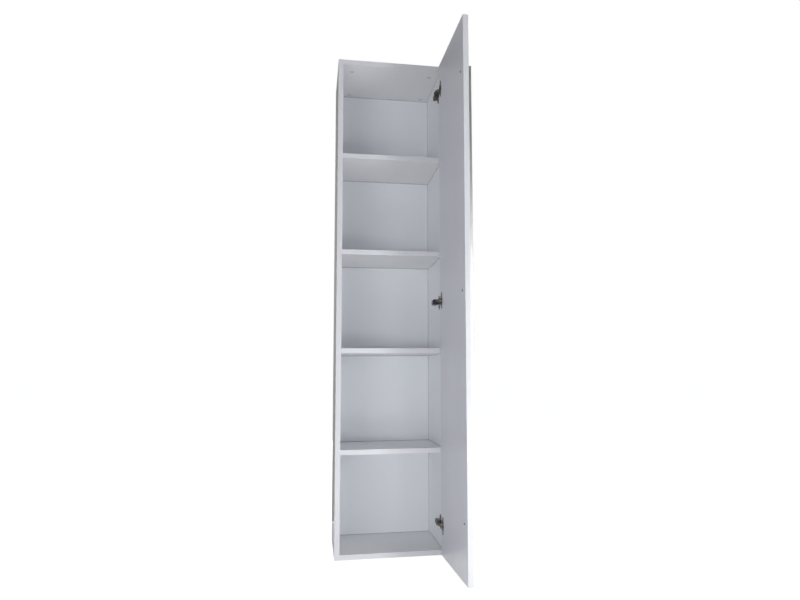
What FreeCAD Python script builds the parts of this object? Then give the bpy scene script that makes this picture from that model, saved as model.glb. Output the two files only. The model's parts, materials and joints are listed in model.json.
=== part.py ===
import FreeCAD, Part
import math
import os

# Broom cupboard: a tall, narrow board carcass with five compartments, one full-height door on
# three concealed cup hinges, and a long extruded grip on the door's outer face.
#
# Frame: the origin is the centre of the carcass base, +X right, +Z up, the front faces -Y.
# The door is hinged on the right and stands open at rest. It closes by turning about -Z.

V = FreeCAD.Vector
UP = V(0, 0, 1)

# ---- driving dimensions, mm ----
HEIGHT = 1800.0
WIDTH = 400.0
DEPTH = 320.0
BOARD = 18.0
BAND = 0.8                    # thickness of the edge banding
SHELVES = 4
SHELF_SETBACK = 1.5
BACK_THICK = 3.0
BACK_RECESS = 9.0             # from the rear edges to the back panel
GROOVE_DEPTH = 6.0
FIT = 0.05                    # radial clearance of a pin, peg or screw in its hole
ROUND = 16                    # sides of small round pieces
CUP_SIDES = 32

# door
DOOR_WIDTH = 397.0
DOOR_END_GAP = 2.0            # above and below the door
DOOR_GAP = 2.0                # between the closed door and the carcass
DOOR_EDGE = 1.5               # closed door's hinge edge inside the carcass's outer face
REST_ANGLE = 91.2             # opening of the door at rest, degrees
REST_X = -7.0                 # hinge corner of the open door, from the side's inner face
REST_Y = -6.0                 # and from the carcass's front edge

BUMPER_INSET = 60.0
BUMPER_RADIUS = 4.0
BUMPER_HEAD = 1.4
BUMPER_STEM = 2.15
BUMPER_DEEP = 4.8

# hinges
HINGE_HEIGHTS = {"bottom": 107.0, "middle": 903.0, "top": 1699.0}
CUP_RADIUS = 17.5
CUP_DEPTH = 12.0
CUP_CENTRE = 22.5             # from the door's hinge edge
CUP_WALL = 0.6
POCKET_HALF = 6.5             # half height of the pocket that takes the links
FLANGE = 1.2
FLANGE_SCREW_PITCH = 48.0
FLANGE_SCREW_SETBACK = 6.0    # screw line beyond the cup's centre
OUTER_PIVOT = (9.0, 2.5)      # in the cup: from the door's edge, below its inner face
INNER_PIVOT = (12.0, 8.5)
OUTER_TURN = -28.0            # turn of each link as the door opens to rest, degrees
INNER_TURN = -18.24
OUTER_ELBOW = (-12.8, -13.4)  # bends of the links at rest, from the side and the front edge
INNER_ELBOW = (-6.9, -16.0)
PIN_RADIUS = 1.2
PIN_STUB = 3.7                # inner and outer ends of the cup's stub pins
PIN_REACH = 8.9
OPEN_PIN_GAP = 0.5
CUP_SCREW = 1.7
CUP_SCREW_HEAD = 3.6
CUP_SCREW_DEEP = 12.5
CUP_FLOOR = 0.6
CUP_RIM = 1.8                 # width of the flange round the cup
WING_HALF = 6.5               # half width of the cup's two wings
MOUTH_REACH = 7.5             # cut in the cup's rim that lets the links out
MOUTH_DEEP = 1.8
SINK_PROUD = 0.6              # screw heads above the flange
CHEEK = 1.2                   # sheet of the outer link
OUTER_LINK_HALF = 1.8         # half width of a cheek
OUTER_LINK_SPREAD = 5.4       # its cheeks' outer faces above and below the middle
WEB_THICK = 0.9               # web between the cheeks
WEB_FROM_ELBOW = 10.0
WEB_FROM_PIVOT = 7.0
INNER_LINK_HALF = 1.6
INNER_LINK_DEEP = 3.2         # half depth of the solid link
INNER_EYE = 2.2               # radius of its forked eye
FORK_GAP = 1.8                # half gap of the fork
TONGUE_HALF = 1.6             # half depth of the arm's tongue in the fork
NECK_RADIUS = 3.2             # arm's eye between the outer link's cheeks
NECK_HALF = 3.9
ARM_BACK = 17.0               # back of the arm's channel above the side
ARM_FOOT = 8.0
ARM_SHEET = 1.5
ARM_HALF = 9.0
ARM_START = 19.0              # channel behind the front edge
ARM_SLOPE = 27.0              # end of the slope from the neck down to the channel's back
ARM_END = 66.0
ARM_CORNER = 2.5
ARM_SLOT_LENGTH = 12.0        # of the slot for the fixing screw
ARM_SLOT_WIDTH = 6.2
COVER_BACK = 28.0             # plastic cover clipped on the middle arm
COVER_FOOT = 10.0
COVER_START = 28.0
COVER_END = 64.0
COVER_HALF = 9.9
COVER_CORNER = 5.0
OVERLAY_SCREW = 32.0          # screws along the arm, behind the front edge
FIXING_SCREW = 53.0
OVERLAY_RADIUS = 2.5
FIXING_RADIUS = 2.0
FIXING_HEAD = 4.4
FIXING_HEAD_TALL = 2.4
OVERLAY_TALL = 0.5
SCREW_FEET = -10.0            # tips of the two screws, above the side
CATCH_IN = 1.8                # plastic catch, inside the channel and behind it
CATCH_OUT = 3.5
CATCH_LEVER = 5.5
CATCH_HALF = 5.5
CATCH_CORNER = 2.0
SYSTEM_LINE = 46.0            # plate's screw line behind the front edge
PLATE_SCREW_PITCH = 32.0
PLATE_THICK = 2.0
PLATE_WING = 20.0             # centres of the wings' round ends
PLATE_WING_HALF = 6.0
TOWER_HALF = 7.3
TOWER_START = 25.0
TOWER_CORNER = 1.5
WINDOW_REAR = 10.0            # window through the tower, behind and before the screw line
WINDOW_FRONT = 1.0
WINDOW_FOOT = 5.0
WINDOW_WALL = 4.0
SYSTEM_SCREW = 2.5            # radius of the plate's screws
SYSTEM_SCREW_DEEP = 11.4
SYSTEM_HEAD = 3.75
SYSTEM_HEAD_TALL = 2.2

# grip
GRIP_LENGTH = 1476.0
GRIP_FOOT = 22.0
GRIP_RISE = 16.0
GRIP_WALL = 1.8
GRIP_ROUND = 2.2              # outer corner between the wall and the finger lip
GRIP_BASE = 4.0               # thickness of the foot that takes the screws
GRIP_END = 1.5                # thickness of the end caps
GRIP_FROM_EDGE = 39.0         # screw line from the door's free edge
GRIP_SCREW_INSET = 18.0
GRIP_SCREW = 2.0
GRIP_SCREW_HEAD = 4.0
GRIP_SCREW_TALL = 2.2

# board joints
DOWEL_RADIUS = 4.0
DOWEL_LENGTH = 30.0
DOWEL_IN_SIDE = 10.0
CAM_RADIUS = 7.5
COVER_RIM = 1.2
COVER_THICK = 0.6
COVER_PLUG = 1.0
CAM_THICK = 12.5
CAM_INSET = 34.0              # from the board's end
BOLT_RADIUS = 3.0
BOLT_HEAD = 3.8
BOLT_IN_SIDE = 11.0
FITTING_FRONT = 64.0          # fitting lines behind the front edge
FITTING_REAR = 284.0
DOWEL_OFFSET = 32.0           # dowel beside each cam bolt

# ---- worked out from the above ----
HALF = WIDTH / 2
INNER = HALF - BOARD
FRONT = -DEPTH / 2
REAR = DEPTH / 2
BACK_FRONT = REAR - BACK_RECESS - BACK_THICK
CLEAR = (HEIGHT - (SHELVES + 2) * BOARD) / (SHELVES + 1)
SHELF_BOTTOMS = [BOARD + CLEAR + i * (CLEAR + BOARD) for i in range(SHELVES)]
DOOR_BOTTOM = DOOR_END_GAP
DOOR_TOP = HEIGHT - DOOR_END_GAP
GRIP_BOTTOM = (HEIGHT - GRIP_LENGTH) / 2
GRIP_LINE = DOOR_WIDTH - GRIP_FROM_EDGE
GRIP_SCREW_HEIGHTS = [GRIP_BOTTOM + GRIP_SCREW_INSET, HEIGHT / 2,
                      HEIGHT - GRIP_BOTTOM - GRIP_SCREW_INSET]


# ---- helpers ----
def box(x0, x1, y0, y1, z0, z1):
    return Part.makeBox(x1 - x0, y1 - y0, z1 - z0, V(x0, y0, z0))


def rod(radius, start, end):
    start, end = V(*start), V(*end)
    return Part.makeCylinder(radius, (end - start).Length, start, end - start)


def corners(radius, centre, axis, sides):
    """Corners of a regular outline, square to an axis, that lie on the radius."""
    across = V(0, 1, 0) if abs(axis.x) > 0 else V(1, 0, 0)
    beside = V(axis.x, axis.y, axis.z).normalize().cross(across)
    turns = [2 * math.pi * (i + 0.5) / sides for i in range(sides)]
    ring = [centre + across * (radius * math.cos(a)) + beside * (radius * math.sin(a))
            for a in turns]
    return ring + ring[:1]


def peg(radius, start, end, sides=8):
    """Small round bar or drilled hole as a regular prism whose corners lie on the radius."""
    start, end = V(*start), V(*end)
    outline = Part.makePolygon(corners(radius, start, end - start, sides))
    return Part.Face(outline).extrude(end - start)


def taper(radius, tip, start, end, sides=12):
    """Countersunk head: a regular prism that narrows from one radius to another."""
    start, end = V(*start), V(*end)
    wide, narrow = corners(radius, start, end - start, sides), corners(tip, end, end - start, sides)
    faces = [Part.Face(Part.makePolygon(wide)), Part.Face(Part.makePolygon(narrow))]
    for a, b, c, d in zip(wide, wide[1:], narrow[1:], narrow):
        faces.append(Part.Face(Part.makePolygon([a, b, c, d, a])))
    return Part.Solid(Part.Shell(faces))


def slab(points, z0, z1):
    """Flat plate with a straight-sided outline."""
    corners = [V(x, y, z0) for x, y in points]
    face = Part.Face(Part.makePolygon(corners + corners[:1]))
    return face.extrude(V(0, 0, z1 - z0))


def strap(path, half, z0, z1):
    """Flat link of even width with round ends and elbows, along a path of points."""
    solid = None
    for x, y in path:
        eye = peg(half, (x, y, z0), (x, y, z1), ROUND)
        solid = eye if solid is None else solid.fuse(eye)
    for (ax, ay), (bx, by) in zip(path, path[1:]):
        run = math.hypot(bx - ax, by - ay)
        nx, ny = half * (ay - by) / run, half * (bx - ax) / run
        solid = solid.fuse(slab([(ax + nx, ay + ny), (bx + nx, by + ny),
                                 (bx - nx, by - ny), (ax - nx, ay - ny)], z0, z1))
    return solid.removeSplitter()


def fuse(shapes):
    solid = shapes[0].multiFuse(shapes[1:])
    return solid.removeSplitter()


def cut(shape, tools):
    return shape.cut(Part.makeCompound(tools)) if tools else shape


def save(name, *shapes):
    shape = shapes[0] if len(shapes) == 1 else Part.makeCompound(list(shapes))
    shape.exportStep(f"parts/{name}.step")


# ---- places shared by the joints of the boards ----
def cross_board_bottoms():
    return [0.0, HEIGHT - BOARD]


def fitting_lines():
    """Y of the fitting lines at the top and bottom boards."""
    return [FRONT + FITTING_FRONT, FRONT + FITTING_REAR]


def dowel_lines(shelf):
    """Y of the dowels: beside the cam bolts, or on the fitting lines of a shelf."""
    near, far = fitting_lines()
    return [near, far] if shelf else [near + DOWEL_OFFSET, far - DOWEL_OFFSET]


def dowels(side, shelf, clearance=0.0):
    """Round wooden dowels between one side and the boards that meet it."""
    pegs = []
    bottoms = SHELF_BOTTOMS if shelf else cross_board_bottoms()
    for bottom in bottoms:
        for y in dowel_lines(shelf):
            z = bottom + BOARD / 2
            outer = INNER + DOWEL_IN_SIDE + clearance
            inner = INNER + DOWEL_IN_SIDE - DOWEL_LENGTH - clearance
            pegs.append(peg(DOWEL_RADIUS + clearance, (side * outer, y, z), (side * inner, y, z)))
    return pegs


def cam_bolt(side, y, z, clearance=0.0):
    """Screw-in bolt of a cam fitting: shank in the side, round head held by the cam."""
    tip = side * (INNER + BOLT_IN_SIDE + clearance)
    neck = side * (INNER - CAM_INSET + 3.5)
    reach = side * (INNER - CAM_INSET - (4.5 if clearance else 1.5))
    shank = peg(BOLT_RADIUS + clearance, (tip, y, z), (neck, y, z))
    head_start = side * INNER if clearance else neck
    head = peg(BOLT_HEAD + clearance, (head_start, y, z), (reach, y, z))
    return fuse([shank, head])


def cam_seats():
    """Centre of each cam's open face: under the top board and under the bottom board."""
    return [(side * (INNER - CAM_INSET), y, bottom)
            for bottom in cross_board_bottoms() for side in (-1, 1) for y in fitting_lines()]


# ---- carcass boards ----
def back_groove(x0, x1, z0, z1):
    return box(x0, x1, BACK_FRONT - 0.1, BACK_FRONT + BACK_THICK + 0.1, z0, z1)


def side_board(side):
    inner, outer = side * INNER, side * HALF
    board = box(min(inner, outer), max(inner, outer), FRONT + BAND, REAR, 0, HEIGHT)
    deep = side * (INNER + GROOVE_DEPTH)
    tools = [back_groove(min(inner, deep), max(inner, deep), GROOVE_DEPTH, HEIGHT - GROOVE_DEPTH)]
    tools += dowels(side, True, FIT) + dowels(side, False, FIT)
    tools += [cam_bolt(side, y, z + BOARD / 2, FIT)
              for z in cross_board_bottoms() for y in fitting_lines()]
    if side > 0:
        line, end = FRONT + SYSTEM_LINE, INNER + SYSTEM_SCREW_DEEP + FIT
        tools += [peg(SYSTEM_SCREW + FIT, (INNER - 1, line, z), (end, line, z))
                  for z in plate_screw_heights()]
    return cut(board, tools)


def cross_board(bottom):
    """Top or bottom board, between the sides, with cam pockets drilled from below."""
    board = box(-INNER, INNER, FRONT + BAND, REAR, bottom, bottom + BOARD)
    lip = bottom + BOARD - GROOVE_DEPTH if bottom == 0 else bottom
    tools = [back_groove(-INNER, INNER, lip, lip + GROOVE_DEPTH)]
    for side in (-1, 1):
        tools += dowels(side, False, FIT)
        tools += [cam_bolt(side, y, bottom + BOARD / 2, FIT) for y in fitting_lines()]
    tools += [peg(CAM_RADIUS + FIT, (x, y, z - 1), (x, y, z + CAM_THICK + FIT), ROUND)
              for x, y, z in cam_seats() if abs(z - bottom) < 1]
    return cut(board, tools)


def shelf_board(bottom):
    board = box(-INNER, INNER, FRONT + SHELF_SETBACK + BAND, BACK_FRONT, bottom, bottom + BOARD)
    return cut(board, dowels(-1, True, FIT) + dowels(1, True, FIT))


def back_board():
    reach = GROOVE_DEPTH - 0.5
    return box(-INNER - reach, INNER + reach, BACK_FRONT, BACK_FRONT + BACK_THICK,
               BOARD - reach, HEIGHT - BOARD + reach)


def carcass_bands():
    """Edging on the front edges of the sides, top and bottom."""
    strips = [box(-HALF, -INNER, FRONT, FRONT + BAND, 0, HEIGHT),
              box(INNER, HALF, FRONT, FRONT + BAND, 0, HEIGHT)]
    for bottom in cross_board_bottoms():
        strips.append(box(-INNER, INNER, FRONT, FRONT + BAND, bottom, bottom + BOARD))
    return strips


def shelf_bands():
    front = FRONT + SHELF_SETBACK
    return [box(-INNER, INNER, front, front + BAND, z, z + BOARD) for z in SHELF_BOTTOMS]


# ---- board fittings ----
def cam(x, y, z):
    """Cam dowel: a die-cast drum with a slot for the bolt's head."""
    side = 1 if x > 0 else -1
    drum = peg(CAM_RADIUS, (x, y, z + COVER_PLUG), (x, y, z + CAM_THICK), ROUND)
    middle = z + BOARD / 2
    slot = peg(BOLT_HEAD + 0.4, (x - side * CAM_RADIUS * 0.65, y, middle),
               (x + side * (CAM_RADIUS + 1), y, middle))
    return cut(drum, [slot])


def cam_cover(x, y, z):
    """Press-in plastic cover that closes a cam's pocket, with a thin rim on the board."""
    plug = peg(CAM_RADIUS, (x, y, z), (x, y, z + COVER_PLUG), ROUND)
    rim = peg(CAM_RADIUS + COVER_RIM, (x, y, z - COVER_THICK), (x, y, z), CUP_SIDES)
    return fuse([plug, rim])


# ---- door ----
def door_place():
    """Turns and moves door coordinates to the open door: X from the hinge edge, Y depth."""
    turn = FreeCAD.Rotation(UP, REST_ANGLE - 180.0)
    return FreeCAD.Placement(V(INNER + REST_X, FRONT + REST_Y, 0), turn)


def on_door(shape):
    placed = shape.copy()
    placed.Placement = door_place().multiply(placed.Placement)
    return placed


def cup_screw_places(z):
    x = CUP_CENTRE + FLANGE_SCREW_SETBACK
    return [(x, z - FLANGE_SCREW_PITCH / 2), (x, z + FLANGE_SCREW_PITCH / 2)]


def door_board():
    board = box(BAND, DOOR_WIDTH - BAND, 0, BOARD, DOOR_BOTTOM + BAND, DOOR_TOP - BAND)
    tools = []
    for z in HINGE_HEIGHTS.values():
        tools.append(peg(CUP_RADIUS + FIT, (CUP_CENTRE, -1, z), (CUP_CENTRE, CUP_DEPTH + FIT, z),
                         CUP_SIDES))
        tools += [peg(CUP_SCREW + FIT, (x, -1, zs), (x, CUP_SCREW_DEEP + FIT, zs))
                  for x, zs in cup_screw_places(z)]
    tools += [peg(GRIP_SCREW + FIT, (GRIP_LINE, -1, z), (GRIP_LINE, BOARD + 1, z))
              for z in GRIP_SCREW_HEIGHTS]
    tools += [peg(BUMPER_STEM + FIT, (x, -1, z), (x, BUMPER_DEEP + FIT, z))
              for x, z in bumper_places()]
    return on_door(cut(board, tools))


def door_bands():
    """Edging on all four edges of the door."""
    strips = [box(0, BAND, 0, BOARD, DOOR_BOTTOM, DOOR_TOP),
              box(DOOR_WIDTH - BAND, DOOR_WIDTH, 0, BOARD, DOOR_BOTTOM, DOOR_TOP),
              box(BAND, DOOR_WIDTH - BAND, 0, BOARD, DOOR_BOTTOM, DOOR_BOTTOM + BAND),
              box(BAND, DOOR_WIDTH - BAND, 0, BOARD, DOOR_TOP - BAND, DOOR_TOP)]
    return [on_door(strip) for strip in strips]


def bumper_places():
    line = DOOR_WIDTH - DOOR_EDGE - BOARD / 2
    return [(line, DOOR_BOTTOM + BUMPER_INSET), (line, DOOR_TOP - BUMPER_INSET)]


def bumper(x, z):
    """Push-in door buffer: a stem in the door and a soft head."""
    stem = peg(BUMPER_STEM, (x, 0, z), (x, BUMPER_DEEP, z))
    head = peg(BUMPER_RADIUS, (x, -BUMPER_HEAD, z), (x, 0, z), ROUND)
    return on_door(fuse([stem, head]))


# ---- grip ----
def grip_outline():
    """Section of the extrusion: a thick foot, a wall rounded at the top, and a finger lip."""
    foot, rise = BOARD, BOARD + GRIP_RISE
    wall, heel = GRIP_LINE + GRIP_FOOT / 2, GRIP_LINE - GRIP_FOOT / 2
    round_out = GRIP_ROUND
    round_in = round_out - GRIP_WALL
    slant = math.sqrt(0.5)
    cx, cy = wall - round_out, rise - round_out
    lip = heel + 1.0
    nose = GRIP_WALL / 2
    edges = [Part.makeLine(V(wall, foot, 0), V(wall, cy, 0)),
             Part.Arc(V(wall, cy, 0), V(cx + round_out * slant, cy + round_out * slant, 0),
                      V(cx, rise, 0)).toShape(),
             Part.makeLine(V(cx, rise, 0), V(lip, rise, 0)),
             Part.Arc(V(lip, rise, 0), V(lip - nose, rise - nose, 0),
                      V(lip, rise - GRIP_WALL, 0)).toShape(),
             Part.makeLine(V(lip, rise - GRIP_WALL, 0), V(cx, rise - GRIP_WALL, 0)),
             Part.Arc(V(cx, rise - GRIP_WALL, 0), V(cx + round_in * slant, cy + round_in * slant, 0),
                      V(wall - GRIP_WALL, cy, 0)).toShape(),
             Part.makeLine(V(wall - GRIP_WALL, cy, 0), V(wall - GRIP_WALL, foot + GRIP_BASE, 0)),
             Part.makeLine(V(wall - GRIP_WALL, foot + GRIP_BASE, 0), V(heel, foot + GRIP_BASE, 0)),
             Part.makeLine(V(heel, foot + GRIP_BASE, 0), V(heel, foot, 0)),
             Part.makeLine(V(heel, foot, 0), V(wall, foot, 0))]
    return Part.Wire(edges)


def grip_profile():
    bar = Part.Face(grip_outline()).extrude(V(0, 0, GRIP_LENGTH - 2 * GRIP_END))
    bar.translate(V(0, 0, GRIP_BOTTOM + GRIP_END))
    depth = BOARD + GRIP_BASE - 0.4
    holes = [peg(GRIP_SCREW + FIT, (GRIP_LINE, BOARD - 1, z), (GRIP_LINE, depth, z))
             for z in GRIP_SCREW_HEIGHTS]
    return on_door(cut(bar, holes))


def grip_end_caps():
    """Thin plates that close the ends of the extrusion."""
    face = Part.Face(grip_outline())
    caps = []
    for z in (GRIP_BOTTOM, GRIP_BOTTOM + GRIP_LENGTH - GRIP_END):
        plate = face.extrude(V(0, 0, GRIP_END))
        plate.translate(V(0, 0, z))
        caps.append(on_door(plate))
    return caps


def grip_screw(z):
    """Machine screw from the door's inner face into the extrusion's foot."""
    tip = BOARD + GRIP_BASE - 0.5
    shank = peg(GRIP_SCREW, (GRIP_LINE, 0, z), (GRIP_LINE, tip, z))
    head = peg(GRIP_SCREW_HEAD, (GRIP_LINE, -GRIP_SCREW_TALL, z), (GRIP_LINE, 0, z), ROUND)
    return on_door(fuse([shank, head]))


# ---- hinges: plan coordinates are X from the side's inner face, Y from the front edge ----
def door_point(pivot):
    """Plan place, at rest, of a point given from the door's edge and below its inner face."""
    place = door_place().multVec(V(pivot[0], pivot[1], 0))
    return place.x - INNER, place.y - FRONT


def closed_point(pivot):
    return BOARD - DOOR_EDGE - pivot[0], -DOOR_GAP - pivot[1]


def fixed_pivot(pivot, turn):
    """Centre about which a link turns the cup's pivot from its closed to its open place."""
    (ax, ay), (bx, by) = closed_point(pivot), door_point(pivot)
    lever = 0.5 / math.tan(math.radians(turn) / 2)
    return (ax + bx) / 2 - (by - ay) * lever, (ay + by) / 2 + (bx - ax) * lever


OUTER_FIXED = fixed_pivot(OUTER_PIVOT, OUTER_TURN)
INNER_FIXED = fixed_pivot(INNER_PIVOT, INNER_TURN)


def at_hinge(shape, z):
    placed = shape.copy()
    placed.translate(V(INNER, FRONT, z))
    return placed


def pin(point, low, high):
    return peg(PIN_RADIUS, (*point, low), (*point, high), ROUND)


def pivot_bore(point, half):
    """Bore whose flats clear a pin, upright through a link, a cheek or an eye."""
    corner = (PIN_RADIUS + FIT / 2) / math.cos(math.pi / ROUND)
    return peg(corner, (*point, -half), (*point, half), ROUND)


def cup_screw_head(x, z):
    return taper(CUP_SCREW_HEAD, CUP_SCREW, (x, -FLANGE - SINK_PROUD, z), (x, 0, z))


def hinge_cup(z):
    """Deep-drawn cup with a winged flange. Two solid cheeks in it hold the outer pivot."""
    wing_x = CUP_CENTRE + FLANGE_SCREW_SETBACK
    wing_z = FLANGE_SCREW_PITCH / 2
    cup = peg(CUP_RADIUS, (CUP_CENTRE, 0, 0), (CUP_CENTRE, CUP_DEPTH, 0), CUP_SIDES)
    rim = rod(CUP_RADIUS + CUP_RIM, (CUP_CENTRE, -FLANGE, 0), (CUP_CENTRE, 0, 0))
    wing = box(wing_x - WING_HALF, wing_x + WING_HALF, -FLANGE, 0, -wing_z, wing_z)
    ends = [rod(WING_HALF, (wing_x, -FLANGE, s * wing_z), (wing_x, 0, s * wing_z))
            for s in (-1, 1)]
    above, edge = -2 * FLANGE, CUP_CENTRE - CUP_RADIUS
    bowl = rod(CUP_RADIUS - CUP_WALL, (CUP_CENTRE, above, 0), (CUP_CENTRE, CUP_DEPTH - CUP_FLOOR, 0))
    pocket = bowl.common(box(edge, CUP_CENTRE + CUP_RADIUS, above, CUP_DEPTH, -POCKET_HALF, POCKET_HALF))
    mouth = box(edge - CUP_RIM, edge + MOUTH_REACH, above, MOUTH_DEEP, -POCKET_HALF, POCKET_HALF)
    holes = [cup_screw_head(x, zs) for x, zs in cup_screw_places(0)]
    bore = pivot_bore(OUTER_PIVOT, PIN_REACH + 0.1)
    solid = cut(fuse([cup, rim, wing] + ends), [pocket, mouth, bore] + holes)
    solid.translate(V(0, 0, z))
    return on_door(solid)


def cup_pins(z):
    """Two stub pins in the cup's cheeks. The inner link passes between them."""
    return [on_door(pin(OUTER_PIVOT, z + s * PIN_STUB, z + s * PIN_REACH)) for s in (-1, 1)]


def cup_screw(x, z):
    """Countersunk chipboard screw through the flange."""
    shank = peg(CUP_SCREW, (x, 0, z), (x, CUP_SCREW_DEEP, z))
    return on_door(fuse([cup_screw_head(x, z), shank]))


def outer_link(z):
    """Two cranked cheeks joined by a web, from the arm's rear pivot to the cup."""
    path = [door_point(OUTER_PIVOT), OUTER_ELBOW, OUTER_FIXED]
    half, spread = OUTER_LINK_HALF, OUTER_LINK_SPREAD
    cheeks = [strap(path, half, low, low + CHEEK) for low in (-spread, spread - CHEEK)]
    (ax, ay), (bx, by) = path[1], path[2]
    run = math.hypot(bx - ax, by - ay)
    ux, uy = (bx - ax) / run, (by - ay) / run
    inside = half - WEB_THICK
    near = ax + WEB_FROM_ELBOW * ux, ay + WEB_FROM_ELBOW * uy
    far = bx - WEB_FROM_PIVOT * ux, by - WEB_FROM_PIVOT * uy
    web = slab([(near[0] + inside * uy, near[1] - inside * ux),
                (near[0] + half * uy, near[1] - half * ux),
                (far[0] + half * uy, far[1] - half * ux),
                (far[0] + inside * uy, far[1] - inside * ux)], -spread, spread)
    bores = [pivot_bore(point, PIN_REACH) for point in (path[0], path[2])]
    return at_hinge(cut(fuse(cheeks + [web]), bores), z)


def inner_link(z):
    """Cranked solid link, forked at the arm, from the arm's tip to the bottom of the cup."""
    path = [door_point(INNER_PIVOT), INNER_ELBOW, INNER_FIXED]
    link = strap(path, INNER_LINK_HALF, -INNER_LINK_DEEP, INNER_LINK_DEEP)
    eye = peg(INNER_EYE, (*INNER_FIXED, -INNER_LINK_DEEP), (*INNER_FIXED, INNER_LINK_DEEP), ROUND)
    fork = peg(NECK_RADIUS * 2, (*INNER_FIXED, -FORK_GAP), (*INNER_FIXED, FORK_GAP), ROUND)
    bores = [pivot_bore(point, PIN_REACH) for point in (path[0], path[2])]
    return at_hinge(cut(fuse([link, eye]), [fork] + bores), z)


def inner_link_pin(z):
    """Pin at the link's cup end. It stands clear of the cup on all sides."""
    half = POCKET_HALF - OPEN_PIN_GAP
    return at_hinge(pin(door_point(INNER_PIVOT), -half, half), z)


def arm(z):
    """Pressed arm: a tongue and an eye between the links, and a channel over the plate."""
    tip_x = INNER_FIXED[0]
    rear_x, rear_y = OUTER_FIXED
    back, sheet_foot = -ARM_BACK, ARM_SHEET - ARM_BACK
    tongue = strap([INNER_FIXED, (tip_x + 0.2, rear_y)], INNER_EYE, -TONGUE_HALF, TONGUE_HALF)
    eye = peg(NECK_RADIUS, (*OUTER_FIXED, -NECK_HALF), (*OUTER_FIXED, NECK_HALF), ROUND)
    neck = slab([(rear_x - NECK_RADIUS, rear_y), (rear_x - NECK_RADIUS, ARM_START),
                 (back, ARM_SLOPE), (sheet_foot, ARM_SLOPE),
                 (sheet_foot, ARM_START + ARM_SHEET), (-ARM_FOOT - 1, ARM_START + ARM_SHEET),
                 (-ARM_FOOT - 1, ARM_START), (rear_x + NECK_RADIUS, rear_y)],
                -NECK_HALF, NECK_HALF)
    channel = box(back, -ARM_FOOT, ARM_START, ARM_END, -ARM_HALF, ARM_HALF)
    long_corners = [e for e in channel.Edges
                    if e.BoundBox.XMax < back + 0.01 and e.BoundBox.YLength > 1]
    channel = channel.makeFillet(ARM_CORNER, long_corners)
    hollow = box(sheet_foot, 0, ARM_START + ARM_SHEET, ARM_END + 1,
                 ARM_SHEET - ARM_HALF, ARM_HALF - ARM_SHEET)
    half_long, half_wide = ARM_SLOT_LENGTH / 2, ARM_SLOT_WIDTH / 2
    slot = box(back - 1, sheet_foot + 1, FIXING_SCREW - half_long, FIXING_SCREW + half_long,
               -half_wide, half_wide)
    screw_hole = peg(OVERLAY_RADIUS + FIT, (back - 1, OVERLAY_SCREW, 0),
                     (sheet_foot + 1, OVERLAY_SCREW, 0))
    bores = [pivot_bore(INNER_FIXED, PIN_REACH), pivot_bore(OUTER_FIXED, PIN_REACH)]
    channel = cut(channel, [hollow])
    return at_hinge(cut(fuse([tongue, eye, neck, channel]), [slot, screw_hole] + bores), z)


def arm_cover(z):
    """Dark plastic cover clipped over the middle hinge's arm, hollow over its screws."""
    cover = box(-COVER_BACK, -COVER_FOOT, COVER_START, COVER_END, -COVER_HALF, COVER_HALF)
    outer = [e for e in cover.Edges if e.BoundBox.XMax < 0.01 - COVER_BACK]
    cover = cover.makeFillet(COVER_CORNER, outer)
    seat = box(-ARM_BACK, 0, 0, COVER_END + 1, -ARM_HALF, ARM_HALF)
    heads = box(-ARM_BACK - FIXING_HEAD_TALL - 1, -ARM_BACK, OVERLAY_SCREW - FIXING_HEAD,
                FIXING_SCREW + FIXING_HEAD + 1, -FIXING_HEAD - 1, FIXING_HEAD + 1)
    return at_hinge(cut(cover, [seat, heads]), z)


def arm_pins(z):
    """Fixed pins of one arm: the rear one for the outer link, the tip one for the inner."""
    halves = ((OUTER_FIXED, OUTER_LINK_SPREAD + 0.5), (INNER_FIXED, INNER_LINK_DEEP + 0.4))
    return [at_hinge(pin(point, -half, half), z) for point, half in halves]


def plate_screw_heights():
    return [z + s * PLATE_SCREW_PITCH / 2 for z in HINGE_HEIGHTS.values() for s in (-1, 1)]


def mounting_plate(z):
    """Winged mounting plate with a raised tower that the arm's channel rides on."""
    half, line = PLATE_WING_HALF, SYSTEM_LINE
    wing = box(-PLATE_THICK, 0, line - half, line + half, -PLATE_WING, PLATE_WING)
    ends = [peg(half, (-PLATE_THICK, line, s * PLATE_WING), (0, line, s * PLATE_WING), ROUND)
            for s in (-1, 1)]
    base = box(-PLATE_THICK, 0, TOWER_START - 1, ARM_END, -TOWER_HALF, TOWER_HALF)
    tower_top = ARM_BACK - ARM_SHEET - 0.1
    tower = box(-tower_top, -PLATE_THICK, TOWER_START, ARM_END - 2, -TOWER_HALF, TOWER_HALF)
    upright = [e for e in tower.Edges if e.BoundBox.XLength > tower_top / 2]
    tower = tower.makeChamfer(TOWER_CORNER, upright)
    window = box(WINDOW_WALL - tower_top, -WINDOW_FOOT, line - WINDOW_REAR, line + WINDOW_FRONT,
                 -2 * TOWER_HALF, 2 * TOWER_HALF)
    pitch = PLATE_SCREW_PITCH / 2
    tools = [peg(SYSTEM_SCREW + FIT, (-half, line, s * pitch), (half, line, s * pitch))
             for s in (-1, 1)]
    tools += [peg(radius + FIT, (-ARM_BACK, y, 0), (SCREW_FEET + 1, y, 0))
              for radius, y in ((OVERLAY_RADIUS, OVERLAY_SCREW), (FIXING_RADIUS, FIXING_SCREW))]
    return at_hinge(cut(fuse([wing, base, tower] + ends), [window] + tools), z)


def plate_screw(z):
    """System screw that holds a plate's wing to the side."""
    y = FRONT + SYSTEM_LINE
    under_head = INNER - PLATE_THICK
    shank = peg(SYSTEM_SCREW, (under_head, y, z), (INNER + SYSTEM_SCREW_DEEP, y, z))
    head = peg(SYSTEM_HEAD, (under_head - SYSTEM_HEAD_TALL, y, z), (under_head, y, z), ROUND)
    return fuse([shank, head])


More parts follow.
